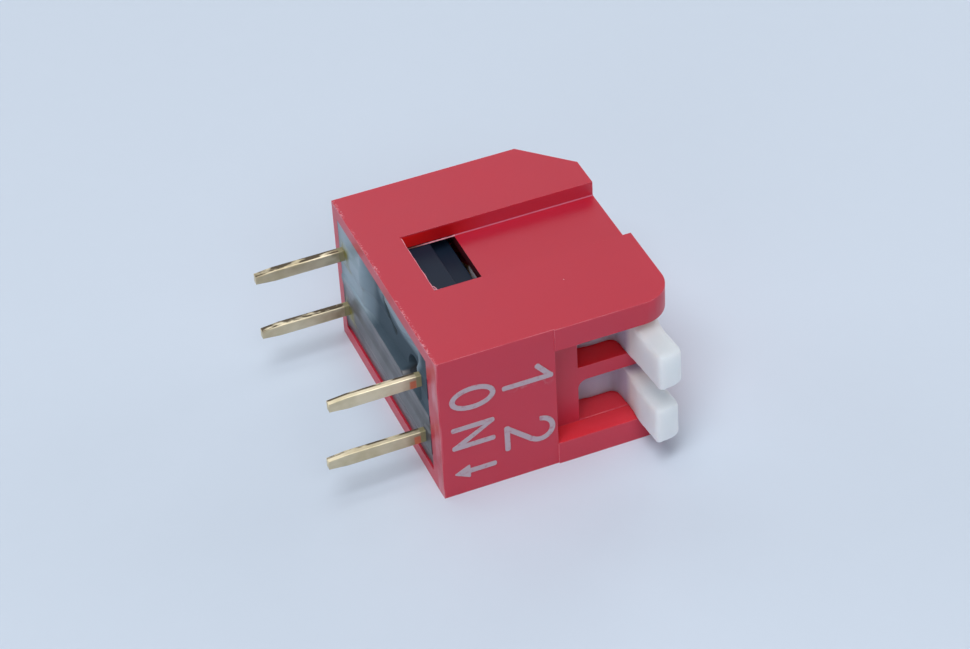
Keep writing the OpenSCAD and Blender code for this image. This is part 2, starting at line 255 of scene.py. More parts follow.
def band(tree, value, low, high, soft):
    # 1 between low and high, in mm, with soft ends
    return overlap(tree, fade(tree, value, low - soft, low + soft),
                   fade(tree, value, high - soft, high + soft, 1, 0))


def objectPlace(tree):
    return tree.nodes.new("ShaderNodeTexCoord").outputs["Object"]


def splitAxes(tree, vector):
    split = tree.nodes.new("ShaderNodeSeparateXYZ")
    wire(tree, vector, split.inputs[0])
    return split.outputs


def placeAxes(tree):
    return splitAxes(tree, objectPlace(tree))


def facing(tree):
    return splitAxes(tree, tree.nodes.new("ShaderNodeTexCoord").outputs["Normal"])


def cloud(tree, scale, detail=4, stretch=None):
    texture = addNode(tree, "TexNoise", Scale=scale, Detail=detail)
    where = objectPlace(tree)
    if stretch:
        lengthwise = addNode(tree, "Mapping")
        lengthwise.inputs["Scale"].default_value = stretch
        wire(tree, where, lengthwise.inputs["Vector"])
        where = lengthwise.outputs[0]
    wire(tree, where, texture.inputs["Vector"])
    return texture.outputs[0]


def newGroup(name, inputs, outputs):
    # a node group with one number in for each input, and one out for each output
    group = bpy.data.node_groups.new(name, "ShaderNodeTree")
    for label, value in inputs:
        socket = group.interface.new_socket(label, in_out="INPUT", socket_type="NodeSocketFloat")
        socket.default_value = value
    for label in outputs:
        group.interface.new_socket(label, in_out="OUTPUT", socket_type="NodeSocketFloat")
    start = group.nodes.new("NodeGroupInput")
    end = group.nodes.new("NodeGroupOutput")
    return group, start, end


def mouldGrainGroup():
    # slow unevenness of a moulded face, and the fine grain of its tool
    group, start, end = newGroup(
        "mouldGrain", [("Slow Scale", 300), ("Fine Scale", 9000)], ["Mottle", "Grain"]
    )
    where = objectPlace(group)
    for scale, out, detail in (("Slow Scale", "Mottle", 4), ("Fine Scale", "Grain", 3)):
        texture = addNode(group, "TexNoise", Detail=detail, Roughness=0.55)
        wire(group, where, texture.inputs["Vector"])
        wire(group, start.outputs[scale], texture.inputs["Scale"])
        wire(group, texture.outputs["Fac"], end.inputs[out])
    return group


def dustGroup():
    # sparse specks of dust, each at its own place and size
    group, start, end = newGroup(
        "dustSpecks", [("Scale", 1600), ("Share", 0.2), ("Size", 0.07)], ["Mask"]
    )
    cells = addNode(group, "TexVoronoi", Randomness=1.0)
    wire(group, objectPlace(group), cells.inputs["Vector"])
    wire(group, start.outputs["Scale"], cells.inputs["Scale"])
    colour = group.nodes.new("ShaderNodeSeparateColor")
    wire(group, cells.outputs["Color"], colour.inputs[0])
    chosen = maths(group, "LESS_THAN", colour.outputs[0], start.outputs["Share"])
    reach = maths(group, "MULTIPLY", start.outputs["Size"], colour.outputs[1])
    inside = maths(group, "LESS_THAN", cells.outputs["Distance"], reach)
    wire(group, maths(group, "MULTIPLY", chosen, inside), end.inputs["Mask"])
    return group


def useGroup(tree, group, **values):
    node = tree.nodes.new("ShaderNodeGroup")
    node.node_tree = group
    for label, value in values.items():
        node.inputs[label.replace("_", " ")].default_value = value
    return node


grain = mouldGrainGroup()
dust = dustGroup()


def mouldGrain(tree, finish):
    return useGroup(
        tree, grain, Slow_Scale=finish["mottleScale"], Fine_Scale=finish["grainScale"])


def bump(tree, shader, height, strength, depth):
    node = addNode(tree, "Bump", Strength=strength, Distance=depth * mm)
    wire(tree, height, node.inputs["Height"])
    wire(tree, node.outputs["Normal"], shader.inputs["Normal"])
    return node


def glowThrough(shader, share, reach, radius):
    # light that soaks in: its share, how deep in mm, and how far each colour goes of that
    shader.inputs["Subsurface Weight"].default_value = share
    shader.inputs["Subsurface Scale"].default_value = reach * mm
    shader.inputs["Subsurface Radius"].default_value = radius


shellLow, shellHigh = boxOf("housing")
oneLow, oneHigh = boxOf("mark_1")
sealLow, sealHigh = boxOf("seal")
shell = {
    "bevel": 0.09,
    "steps": 3,
    "grooveFoot": 0.16,         # fillet between a groove's floor and its sides
    "footSteps": 5,
    "grooveDeep": 0.6,          # from here on the CAD housing's measures, in mm
    "grooveSides": (6.39, 3.09),  # before the back face
    "windowStep": 0.06,         # left in a window's wall below the groove's floor
    "windowLow": 1.46,          # heights above the rim
    "windowTop": 3.48,
    "frontStep": 4.34,
    "lowerLip": 0.965,          # upper edge of the lower lip, above the end face
    "slopeLeg": 1.75,
    "roofBack": 1.32,           # the roof's front edge, behind the front face
    "roofCorner": 0.45,         # how far its corner at the top is blunted
    "roofBlunt": 0.35,
}
frontStep = shellLow.x + shell["frontStep"]
windowLow = shellLow.x + shell["windowLow"]
windowTop = shellLow.x + shell["windowTop"]
grooveLow, grooveHigh = (shellHigh.y - n for n in shell["grooveSides"])
grooveFloors = (shellLow.z + shell["grooveDeep"], shellHigh.z - shell["grooveDeep"])

red = {
    "body": (0.453, 0.0142, 0.0398, 1),
    "bodyDeep": (0.431, 0.0124, 0.0356, 1),
    # painted reflection: upright faces take this paler tone
    "front": (0.512, 0.0285, 0.0600, 1),
    # painted bounce light and shade in the cells
    "cell": (0.640, 0.0310, 0.0500, 1),
    "cellDeep": (0.620, 0.0080, 0.0150, 1),
    # painted shade and light on the groove's back side
    "groove": (0.500, 0.0040, 0.0080, 1),
    "grooveLit": (0.800, 0.0100, 0.0080, 1),
    # pale rounds: partly real wear, partly a painted highlight
    "edge": (0.760, 0.300, 0.360, 1),
    "wearAndSheen": (0.620, 0.260, 0.310, 1),
    "dust": (0.60, 0.40, 0.42, 1),
    "haze": (0.50, 0.16, 0.20, 1),
    "unlit": (0.040, 0.0015, 0.003, 1),
    "unlitPale": (0.070, 0.002, 0.005, 1),
    "burr": (0.560, 0.230, 0.300, 1),
    # painted highlight on the lip line
    "lipHighlight": (0.700, 0.130, 0.160, 1),
    # painted highlight on the groove's foot
    "footHighlight": (0.430, 0.095, 0.165, 1),
    "footHighlightDim": (0.380, 0.065, 0.120, 1),
    "darkening": (0.100, 0.030, 0.025, 1),
    "mottleScale": 260,
    "grainScale": 11000,
    "grainDepth": 0.0016,
    "edgeWearAndHighlight": (0.42, 0.62, 0.30, 1.0),   # cloud from, to, and the share that goes pale
    "roughness": (0.30, 0.42),
    "specular": 0.44,
    "glow": (0.25, 0.35, (1.0, 0.10, 0.08)),
}


def inCell(tree, axes, level):
    # the level faces of the recess and the cells, which get painted bounce light
    return overlap(
        tree,
        band(tree, axes["X"], frontStep + 0.03, shellHigh.x - 0.3, 0.02),
        band(tree, axes["Y"], shellLow.y, shellLow.y + 3.0, 0.02),
        band(tree, axes["Z"], shellLow.z + 0.3, shellHigh.z - 0.3, 0.02),
        stretchRange(tree, level, 0.3, 0.8),
    )


def onGrooveSide(tree, axes):
    # the back side of the upper groove, and the window's wall below it, which get painted shade
    # and light
    return overlap(
        tree,
        fade(tree, axes["X"], windowTop - 0.1, windowTop + 1.3, 1, 0),
        fade(tree, axes["X"], shellLow.x + 1.1, shellLow.x + 1.3),
        band(tree, axes["Y"], grooveHigh - 0.07, grooveHigh + 0.07, 0.01),
        band(tree, axes["Z"], shellHigh.z - 0.7, shellHigh.z - 0.05, 0.02),
    )


def rimScuff(tree, axes):
    # the rim that stands on the board is scuffed along its upper edge and streaked in front
    scuff = overlap(
        tree,
        band(tree, axes["X"], shellLow.x - 1, shellLow.x + 0.10, 0.03),
        band(tree, axes["Z"], shellHigh.z - 0.09, shellHigh.z + 1, 0.03),
        stretchRange(tree, cloud(tree, 900, 2), 0.42, 0.62),
        stretchRange(tree, cloud(tree, 15000, 3), 0.50, 0.62),
    )
    streaks = overlap(
        tree,
        band(tree, axes["X"], shellLow.x - 1, shellLow.x + 0.05, 0.03),
        band(tree, axes["Y"], shellLow.y - 1, shellLow.y + 0.6, 0.02),
        stretchRange(tree, cloud(tree, 1600, 4, (1, 1, 0.4)), 0.45, 0.75),
    )
    return either(tree, scuff, streaks)


def inkSmudge(tree, axes):
    # stray ink beside the upper digit
    return overlap(
        tree,
        band(tree, axes["Y"], shellLow.y - 1, shellLow.y + 0.08, 0.01),
        band(tree, axes["X"], oneLow.x + 0.3, oneHigh.x - 0.1, 0.15),
        band(tree, axes["Z"], oneLow.z - 0.28, oneLow.z, 0.10),
        stretchRange(tree, cloud(tree, 3300, 6), 0.50, 0.72),
    )


def redPlastic(name, edge=False):
    material, tree, shader = newMaterial(name)
    cloth = mouldGrain(tree, red)
    axes = placeAxes(tree)
    tone = mixColour(tree, cloth.outputs["Mottle"], red["bodyDeep"], red["body"])
    # upright faces take a paler tone, a painted reflection; the cells and the groove's back side
    # get painted bounce light and shade
    level = maths(tree, "ABSOLUTE", facing(tree)["Z"])
    tone = mixColour(tree, stretchRange(tree, level, 0.3, 0.8, 1, 0), tone, red["front"])
    # painted bounce light in the cells, darker and more saturated higher up
    deep = fade(tree, axes["Z"], shellLow.z + 1.5, shellLow.z + 2.0)
    cell = mixColour(tree, deep, red["cell"], red["cellDeep"])
    tone = mixColour(tree, inCell(tree, axes, level), tone, cell)
    # painted light on the groove's back side towards the rim, painted shade further in
    lit = fade(tree, axes["X"], shellLow.x + 1.5, shellLow.x + 2.9, 1, 0)
    groove = mixColour(tree, lit, red["groove"], red["grooveLit"])
    tone = mixColour(tree, onGrooveSide(tree, axes), tone, groove)
    # the rounds get a pale tone, partly real wear and partly a painted highlight
    if edge:
        wearAndSheen = stretchRange(tree, cloud(tree, 1300, 5), *red["edgeWearAndHighlight"])
        tone = mixColour(tree, wearAndSheen, tone, red["edge"])
    tone = mixColour(tree, rimScuff(tree, axes), tone, red["wearAndSheen"])
    tone = mixColour(tree, inkSmudge(tree, axes), tone, red["haze"])
    specks = useGroup(tree, dust, Scale=1300, Share=0.16, Size=0.05)
    tone = mixColour(tree, specks.outputs["Mask"], tone, red["dust"])
    wire(tree, tone, shader.inputs["Base Color"])
    rough = stretchRange(tree, cloth.outputs["Mottle"], 0.3, 0.7, *red["roughness"])
    wire(tree, rough, shader.inputs["Roughness"])
    shader.inputs["Specular IOR Level"].default_value = red["specular"]
    glowThrough(shader, *red["glow"])
    bump(tree, shader, cloth.outputs["Grain"], 0.35, red["grainDepth"])
    return material


def plainRed(name, low, high, along=None):
    # red plastic in small places; along gives the heights over which it darkens towards the
    # lower one
    material, tree, shader = newMaterial(name)
    tone = mixColour(tree, stretchRange(tree, cloud(tree, 2200, 3), 0.3, 0.7), low, high)
    if along:
        darkEnd = fade(tree, placeAxes(tree)["X"], *along, 1, 0)
        tone = mixColour(tree, darkEnd, tone, red["darkening"])
    wire(tree, tone, shader.inputs["Base Color"])
    shader.inputs["Roughness"].default_value = 0.45
    bump(tree, shader, cloud(tree, 6000, 3), 0.3, 0.003)
    return material


white = {
    "body": (0.665, 0.740, 0.795, 1),
    "bodyWarm": (0.655, 0.720, 0.755, 1),
    # painted shade on the levers' upper side
    "upwardShade": (0.540, 0.600, 0.640, 1),
    # painted red bounce light near the housing
    "root": (0.740, 0.710, 0.690, 1),
    # painted shade on the knuckle
    "knuckle": (0.430, 0.410, 0.540, 1),
    "mottleScale": 420,
    "grainScale": 9000,
    "grainDepth": 0.0015,
    "roughness": (0.55, 0.68),
    "specular": 0.3,
    "glow": (1.0, 2.0, (1.0, 0.92, 0.86)),
}


def whitePlastic(name):
    material, tree, shader = newMaterial(name)
    cloth = mouldGrain(tree, white)
    tone = mixColour(tree, cloth.outputs["Mottle"], white["bodyWarm"], white["body"])
    # the upper side is a little darker and greyer, a painted shade
    upwardShade = stretchRange(tree, facing(tree)["Z"], 0.1, 0.9)
    tone = mixColour(tree, upwardShade, tone, white["upwardShade"])
    # painted red bounce light warms the arm's root, and painted shade dims the knuckle
    y = placeAxes(tree)["Y"]
    root = fade(tree, y, shellLow.y - 0.5, shellLow.y + 0.7, 0, 0.6)
    tone = mixColour(tree, root, tone, white["root"])
    shadedKnuckle = fade(tree, y, shellLow.y + 0.5, shellLow.y + 0.9, 0, 0.9)
    wire(tree, mixColour(tree, shadedKnuckle, tone, white["knuckle"]), shader.inputs["Base Color"])
    wire(tree, stretchRange(tree, cloth.outputs["Mottle"], 0.3, 0.7, *white["roughness"]),
         shader.inputs["Roughness"])
    shader.inputs["Specular IOR Level"].default_value = white["specular"]
    glowThrough(shader, *white["glow"])
    bump(tree, shader, cloth.outputs["Grain"], 0.3, white["grainDepth"])
    return material


pin = {
    "pitch": 2.54,           # between the ways; these three are the CAD pins' own, in mm
    "wide": 0.5,
    "thick": 0.25,
    "rolled": 0.07,          # round on the die's side
    "steps": 3,
    "crisp": 0.2,            # share of the round on the side that stays sharp
}
# each pin's middle in Y and Z: the front ones lie at their terminal's lowest Y
pinSpots = []
for row, end, inward in (("contact", 0, 1), ("common", 1, -1)):
    for way, side in ((1, 1), (2, -1)):
        pinY = boxOf(f"{row}_terminal_{way}")[end].y + inward * pin["thick"] / 2
        pinSpots.append((pinY, (sealLow.z + sealHigh.z + side * pin["pitch"]) / 2))

plating = {
    "bright": (0.670, 0.600, 0.445, 1),
    "dull": (0.470, 0.405, 0.265, 1),
    "brown": (0.180, 0.130, 0.065, 1),
    "copper": (0.600, 0.210, 0.120, 1),
    "flux": (0.230, 0.205, 0.110, 1),
    "sheared": (0.085, 0.066, 0.046, 1),
    "rolled": 0.16,          # share of the thickness, in mm, that the die rolled over
    "fluxTop": 0.22,         # how far above the rim the flux reaches
    "fluxMetal": 0.15,       # how metallic it still looks there
    "copperTop": 0.46,
    "roughness": (0.42, 0.62),
}


def barePatch(tree, axes, pinLow):
    # bare copper above the flux, on the front pins' outer side
    rows = [band(tree, axes["Z"], z - 0.4, z + 0.10, 0.03) for _, z in pinSpots[:2]]
    low, high = shellLow.x - plating["copperTop"], shellLow.x - plating["fluxTop"]
    return overlap(
        tree,
        band(tree, axes["X"], low, high, 0.02),
        band(tree, axes["Y"], pinLow.y - 1, pinLow.y + 0.03, 0.02),
        either(tree, *rows),
        stretchRange(tree, cloud(tree, 5000, 3), 0.30, 0.40),
    )


def pinPlating(name, row):
    material, tree, shader = newMaterial(name)
    pinLow, pinHigh = boxOf(f"{row}_terminal_1")
    axes = placeAxes(tree)
    streak = cloud(tree, 6000, 4, (0.12, 1, 1))
    blotch = cloud(tree, 900, 3)
    tone = mixColour(tree, stretchRange(tree, blotch, 0.35, 0.7),
                     plating["bright"], plating["dull"])
    root = fade(tree, axes["X"], shellLow.x - 0.8, shellLow.x)
    darkening = overlap(tree, root, stretchRange(tree, blotch, 0.3, 0.55))
    tone = mixColour(tree, darkening, tone, plating["brown"])
    if row == "contact":
        tone = mixColour(tree, barePatch(tree, axes, pinLow), tone, plating["copper"])
    # the sheared sides are dark towards the back
    sheared = overlap(
        tree,
        stretchRange(tree, maths(tree, "ABSOLUTE", facing(tree)["Z"]), 0.75, 0.9),
        band(tree, axes["Y"], pinLow.y + plating["rolled"], pinHigh.y + 1, 0.02),
        stretchRange(tree, cloud(tree, 5200, 4, (0.3, 1, 1)), 0.36, 0.50),
    )
    tone = mixColour(tree, sheared, tone, plating["sheared"])
    coated = band(tree, axes["X"], shellLow.x - plating["fluxTop"], shellLow.x + 1, 0.015)
    tone = mixColour(tree, coated, tone, plating["flux"])
    wire(tree, tone, shader.inputs["Base Color"])
    wire(tree, stretchRange(tree, coated, 0, 1, 1, plating["fluxMetal"]),
         shader.inputs["Metallic"])
    wire(tree, stretchRange(tree, streak, 0.3, 0.7, *plating["roughness"]),
         shader.inputs["Roughness"])
    bump(tree, shader, streak, 0.4, 0.002)
    return material


darkBase = {
    "body": (0.005, 0.010, 0.022, 1),
    "pale": (0.009, 0.017, 0.034, 1),
    "mottleScale": 700,
    "grainScale": 8000,
    "grainDepth": 0.002,
    "roughness": (0.35, 0.50),
    "specular": 0.15,
    "round": 0.04,
    "steps": 2,
}


def basePlastic(name):
    material, tree, shader = newMaterial(name)
    cloth = mouldGrain(tree, darkBase)
    wire(tree, mixColour(tree, cloth.outputs["Mottle"], darkBase["body"], darkBase["pale"]),
         shader.inputs["Base Color"])
    wire(tree, stretchRange(tree, cloth.outputs["Mottle"], 0.3, 0.7, *darkBase["roughness"]),
         shader.inputs["Roughness"])
    shader.inputs["Specular IOR Level"].default_value = darkBase["specular"]
    bump(tree, shader, cloth.outputs["Grain"], 0.4, darkBase["grainDepth"])
    return material


resinTone = {
    "body": (0.091, 0.092, 0.108, 1),
    "deep": (0.034, 0.060, 0.086, 1),
    # painted reflection on the banks
    "pale": (0.245, 0.330, 0.400, 1),
    "milk": (0.055, 0.060, 0.071, 1),
    "flux": (0.200, 0.180, 0.030, 1),
    # painted shade in the slit
    "slit": (0.020, 0.022, 0.012, 1),
    # painted shade in the vent
    "vent": (0.008, 0.011, 0.017, 1),
    "roughness": (0.30, 0.42),
    "duller": 0.5,
}
fill = {
    "grid": 0.035,
    "level": 0.06,           # depths and rises in mm
    "footDip": 0.03,
    "ridge": 0.045,
    "sink": 0.10,            # the hollow's depth at its lower back corner
    "sinkForward": 0.055,    # and how much it deepens per mm forward and up
    "sinkUp": 0.10,
    "slitDeep": 0.16,
    "ventDeep": 0.30,
    "pinRise": 0.10,
    "apronRise": 0.07,
    "wallRise": 0.05,
    "ripple": 0.006,
    "highest": 0.03,         # nothing stands further above the rim than this
    "hollowFrom": sealLow.z + 2.47,    # places in the part's Y and Z
    "hollowFront": (sealLow.y + 0.88, sealLow.y + 1.08),
    "hollowBack": (sealHigh.y - 2.0, sealHigh.y - 2.8),
    "slit": (sealLow.y + 5.07, sealLow.z + 4.02, sealLow.y + 4.05, sealLow.z + 3.13),
    "vent": (sealLow.y + 2.50, sealLow.z + 2.72, 0.42),
    "bank": (sealLow.z + 3.47, 0.18),  # the pale bank along the upper wall, and its rise
    "bankEnds": (sealLow.y + 1.1, sealHigh.y - 3.9),
}


def bankSheenMask(tree, y, z):
    # the banks along the upper wall, painted pale as their reflection, and the pale back corner
    bank, rise = fill["bank"]
    above = maths(tree, "SUBTRACT", z, overlap(tree, either(tree, y, 0.0), rise))
    along = overlap(
        tree,
        fade(tree, above, bank - 0.10, bank + 0.30, 0, 0.8),
        band(tree, y, sealLow.y + 0.8, sealHigh.y - 3.2, 0.3),
    )
    corner = overlap(
        tree,
        fade(tree, y, sealHigh.y - 3.3, sealHigh.y - 2.0),
        fade(tree, z, sealLow.z + 1.6, sealLow.z + 2.7),
    )
    return either(tree, along, corner)


def slitShadeMask(tree, y, z):
    # a narrow slit where the resin has drawn back, painted dark as its shade
    ay, az, by, bz = fill["slit"]
    run = Vector((by - ay, bz - az)).normalized()
    across = maths(tree, "SUBTRACT", overlap(tree, y, run.y), overlap(tree, z, run.x))
    middle = ay * run.y - az * run.x
    return overlap(
        tree,
        band(tree, across, middle - 0.09, middle + 0.09, 0.035),
        band(tree, y, min(ay, by), max(ay, by), 0.08),
    )


def ventShadeMask(tree, y, z):
    # the vent is painted nearly black, a painted shade in its depth
    ventY, ventZ, ventR = fill["vent"]
    offY = maths(tree, "SUBTRACT", y, ventY * mm)
    offZ = maths(tree, "SUBTRACT", z, ventZ * mm)
    away = maths(tree, "SQRT", maths(
        tree, "ADD", overlap(tree, offY, offY), overlap(tree, offZ, offZ)))
    return fade(tree, away, ventR - 0.10, ventR - 0.02, 1, 0)


def resin(name):
    material, tree, shader = newMaterial(name)
    axes = placeAxes(tree)
    y, z = axes["Y"], axes["Z"]
    mist = cloud(tree, 650, 5)
    milky = stretchRange(tree, mist, 0.35, 0.65)
    tone = mixColour(tree, milky, resinTone["body"], resinTone["milk"])
    inHollow = fade(tree, z, fill["hollowFrom"] - 0.07, fill["hollowFrom"] - 0.02)
    tone = mixColour(tree, inHollow, tone, resinTone["deep"])
    bankSheen, slitShade, ventShade = (mask(tree, y, z) for mask in (bankSheenMask, slitShadeMask, ventShadeMask))
    # painted reflection: the banks are coloured pale
    tone = mixColour(tree, bankSheen, tone, resinTone["pale"])
    tone = mixColour(tree, slitShade, tone, resinTone["slit"])
    # flux gathered round the two back pins
    for atY, atZ in pinSpots[2:]:
        ring = overlap(
            tree,
            band(tree, y, atY - 0.50, atY + 0.35, 0.15),
            band(tree, z, atZ - 0.60, atZ + 0.38, 0.15),
            stretchRange(tree, mist, 0.30, 0.50),
        )
        tone = mixColour(tree, ring, tone, resinTone["flux"])
    # painted shade: the vent is nearly black
    tone = mixColour(tree, ventShade, tone, resinTone["vent"])
    wire(tree, tone, shader.inputs["Base Color"])
    # the hollow is dull, the banks round it keep a sheen
    dull = overlap(tree, inHollow, stretchRange(tree, bankSheen, 0.1, 0.6, 1, 0))
    dull = either(tree, dull, ventShade, slitShade)
    sheen = stretchRange(tree, mist, 0.3, 0.7, *resinTone["roughness"])
    rough = maths(tree, "ADD", sheen, overlap(tree, dull, resinTone["duller"]), True)
    wire(tree, rough, shader.inputs["Roughness"])
    bump(tree, shader, cloud(tree, 900, 3), 0.3, 0.008)
    return material


innerMetal = {
    "spring": ((0.62, 0.40, 0.19, 1), (0.50, 0.30, 0.14, 1)),
    "contact": ((0.78, 0.78, 0.76, 1), (0.62, 0.62, 0.60, 1)),
    "roughness": (0.25, 0.42),
}


def smallMetal(name, tones):
    material, tree, shader = newMaterial(name)
    streak = cloud(tree, 2600)
    wire(tree, mixColour(tree, streak, *tones), shader.inputs["Base Color"])
    shader.inputs["Metallic"].default_value = 1.0
    wire(tree, stretchRange(tree, streak, 0.3, 0.7, *innerMetal["roughness"]),
         shader.inputs["Roughness"])
    bump(tree, shader, streak, 0.3, 0.002)
    return material


inkTone = {
    "body": (0.440, 0.345, 0.400, 1),
    "thin": (0.400, 0.200, 0.250, 1),    # where the red shows through
    "roughness": 0.5,
}


def printInk(name):
    material, tree, shader = newMaterial(name)
    thin = cloud(tree, 5200)
    wire(tree, mixColour(tree, stretchRange(tree, thin, 0.55, 0.72),
                         inkTone["body"], inkTone["thin"]), shader.inputs["Base Color"])
    shader.inputs["Roughness"].default_value = inkTone["roughness"]
    bump(tree, shader, thin, 0.4, 0.004)
    return material


redBody = redPlastic("redPlastic")
redEdgeWearHighlight = redPlastic("redEdgeWearHighlight", edge=True)
redUnlit = plainRed("redUnlit", red["unlit"], red["unlitPale"])
# the burrs take the rounds' pale tone, partly a painted highlight
redBurr = plainRed("redBurr", red["edge"], red["burr"])
# the groove's foot fillet gets a pale painted highlight
redFootHighlight = plainRed("redFootHighlight", red["footHighlight"], red["footHighlightDim"])
# the lip line gets a pale painted highlight
redLipHighlight = plainRed("redLipHighlight", red["lipHighlight"], red["front"])
# the window's ledge is pale as a painted highlight, and darkens towards its rim end
redLedgeHighlight = plainRed("redLedgeHighlight", red["edge"], red["burr"], (shellLow.x + 2.0, shellLow.x + 2.5))
leverWhite = whitePlastic("leverWhite")
frontPlating = pinPlating("frontPinPlating", "contact")
backPlating = pinPlating("backPinPlating", "common")
baseDark = basePlastic("baseDark")
sealResin = resin("sealResin")
springMetal = smallMetal("springMetal", innerMetal["spring"])
contactMetal = smallMetal("contactMetal", innerMetal["contact"])
ink = printInk("printInk")
say("materials")


# the rules for edges get their middle in mm, their direction and whether they are hollow
def onGrooveFoot(at, way, hollow):
    return hollow and abs(way.x) > 0.9 and any(near(at.z, n) for n in grooveFloors)


def shellEdge(at, way, hollow):
    slopeSum = shellHigh.x + shellHigh.y - shell["slopeLeg"]
    onEnd = near(at.z, shellLow.z) or near(at.z, shellHigh.z)
    onRim = near(at.x, shellLow.x)
    onFront = near(at.y, shellLow.y, 0.06)
    outside = (
        onEnd + onRim + onFront + near(at.x, shellHigh.x)
        + near(at.y, shellHigh.y) + near(at.x + at.y, slopeSum)
    )
    if at.y < shellLow.y + 0.06 and at.x > frontStep - 0.01 and not onEnd:
        return 0.8
    if outside >= 2:
        return 1.0 if onEnd and onFront else 0.7
    if onRim:
        return 0.4
    if onEnd:
        return 0.25
    if at.y < shellLow.y + 1.6 and at.x > frontStep:
        return 0.35
    return 0.0


housing = copyNode("housing", "housingShell")
for coat in (redBody, redEdgeWearHighlight):
    housing.data.materials.append(coat)
for v in housing.data.vertices:
    x, y, z = v.co / mm
    # the windows' walls run straight up into the groove floors
    for floorZ, inward in zip(grooveFloors, (1, -1)):
        onStep = near(z, floorZ + inward * shell["windowStep"], 0.01)
        if onStep and windowTop - 0.05 < x < windowTop + 0.15:
            v.co.z = floorZ * mm
    # the roof's front corner is blunted a little
    if near(y, shellLow.y + shell["roofBack"], 0.03):
        blunt = smoothStep(x, shellHigh.x - shell["roofBlunt"], shellHigh.x)
        v.co.y += shell["roofCorner"] * mm * blunt
cleanMesh(housing)
roundChosen(housing, onGrooveFoot, shell["grooveFoot"], shell["footSteps"])
weighEdges(housing, shellEdge)
roundEdges(housing, shell["bevel"], shell["steps"])
# the window's wall towards the top has no light on it, and the groove's foot gets a pale painted
# highlight
for coat in (redUnlit, redFootHighlight):
    housing.data.materials.append(coat)
for face in housing.data.polygons:
    at, out = face.center / mm, face.normal
    inWindow = grooveFloors[0] < at.z < grooveFloors[1] and near(at.x, windowTop, 0.02)
    if inWindow and abs(out.x) > 0.7:
        face.material_index = 2
    # painted highlight on the groove foot's fillet faces
    footHighlightFace = at.y > grooveLow + 1 and near(at.z, grooveFloors[1] + shell["grooveFoot"] / 2, 0.09)
    if footHighlightFace and abs(out.y) > 0.25 and out.z > 0.25:
        face.material_index = 3
place(housing, "case", "red_plastic", "housing")
say("housing")

burr = {
    "steps": 48,
    "thick": 0.022,
    "curl": 0.0198,
    "ledge": 0.030,
    "lipIn": 0.82,       # the pale lip line, a thin ridge with a painted highlight, lies this far behind the front face
    # paths in mm from the window's corner at the front, the rim and the upper end face
    "curls": (
        ((0.01, 0.34, -0.05), (0.10, 0.30, -0.10), (0.15, 0.20, -0.12), (0.12, 0.12, -0.08)),
        ((0.02, 0.18, -0.05), (0.09, 0.08, -0.06), (0.20, 0.04, -0.07), (0.28, 0.05, -0.05)),
    ),
}


def strand(name, path, thick, material):
    # a thin uneven roll of plastic along a path in mm
    bpy.ops.mesh.primitive_circle_add(vertices=8, radius=1, fill_type="NGON")
    piece = bpy.context.object
    piece.name = name
    editAll(piece)
    for _ in path[1:]:
        bpy.ops.mesh.extrude_region_move(TRANSFORM_OT_translate={"value": (0, 0, 1)})
    bpy.ops.object.mode_set(mode="OBJECT")
    last = len(path) - 1
    for v in piece.data.vertices:
        step = round(v.co.z)
        at = path[step]
        ahead = (path[min(step + 1, last)] - path[max(step - 1, 0)]).normalized()
        side = ahead.cross(Vector((0, 0, 1))).normalized()
        reach = thick * (0.75 + 0.7 * abs(noise.noise(at * 4.3)))
        v.co = (at + (side * v.co.x + side.cross(ahead) * v.co.y) * reach) * mm
    faceOutward(piece)
    piece.data.materials.append(material)
    selectOnly(piece)
    bpy.ops.object.shade_smooth()
    place(piece, "case", "red_plastic")


def straight(start, end, waver):
    # a straight path in mm that wavers a little along X
    points = []
    for step in range(burr["steps"] + 1):
        at = Vector(start).lerp(Vector(end), step / burr["steps"])
        points.append(at + Vector((1, 0, 0)) * waver * noise.noise(at * 3.1))
    return points


# a thin ledge along the groove's foot above the window, coloured pale as a painted highlight
ledgeY, ledgeZ = grooveHigh - 0.02, grooveFloors[1]
strand("windowLedge", straight(
    (windowLow + 0.05, ledgeY, ledgeZ), (windowTop + 0.03, ledgeY, ledgeZ), 0),
    burr["ledge"], redLedgeHighlight)
edgeX, edgeZ = windowLow + 0.012, shellHigh.z - 0.04
strand("windowBurr", straight(
    (edgeX, grooveHigh - 0.05, edgeZ), (edgeX, grooveLow + 0.05, edgeZ), 0.03),
    burr["thick"], redBurr)
# a thin ridge on the lower lip, coloured pale as a painted highlight
lipY, lipZ = shellLow.y + burr["lipIn"], shellLow.z + shell["lowerLip"]
strand("lipHighlightLine", straight(
    (shellLow.x + 5.50, lipY, lipZ), (shellHigh.x - 0.45, lipY, lipZ), 0),
    burr["thick"], redLipHighlight)
corner = Vector((windowLow, grooveLow, shellHigh.z))
for number, curl in enumerate(burr["curls"], 1):
    strand(f"windowCurl{number}", [corner + Vector(at) for at in curl], burr["curl"], redBurr)
say("burrs")

lever = {
    "grid": 0.035,
    "passes": 110,
    "smooth": 50,
    "rise": math.radians(4.2),       # slope of the arm when it rests
    "tipMiddle": (0.8461, 0.8527),   # of the tip's round, in from its highest X and lowest Y
    "tipRound": 0.848,
    "tipSquare": 3.4,                # 2 is a true quarter circle, more is squarer
    "shoulder": 0.50,                # round along the arm's upper outer edge
    "lean": {1: 0.02, 2: -0.10},     # play of each lever's arm
    "arm": 2.6,                      # how far from the tip the arm is shaped, in mm
    "shoulderEnds": (2.4, 1.5),      # where the round, the play and the softening begin
    "leanEnds": (2.3, 1.2),          # and where they are full, from the tip
    "softEnds": (2.4, 1.9),
    "underside": 0.12,               # share of the softening along the arm's underside
    "least": 0.03,                   # and on the parts that stay crisp
}


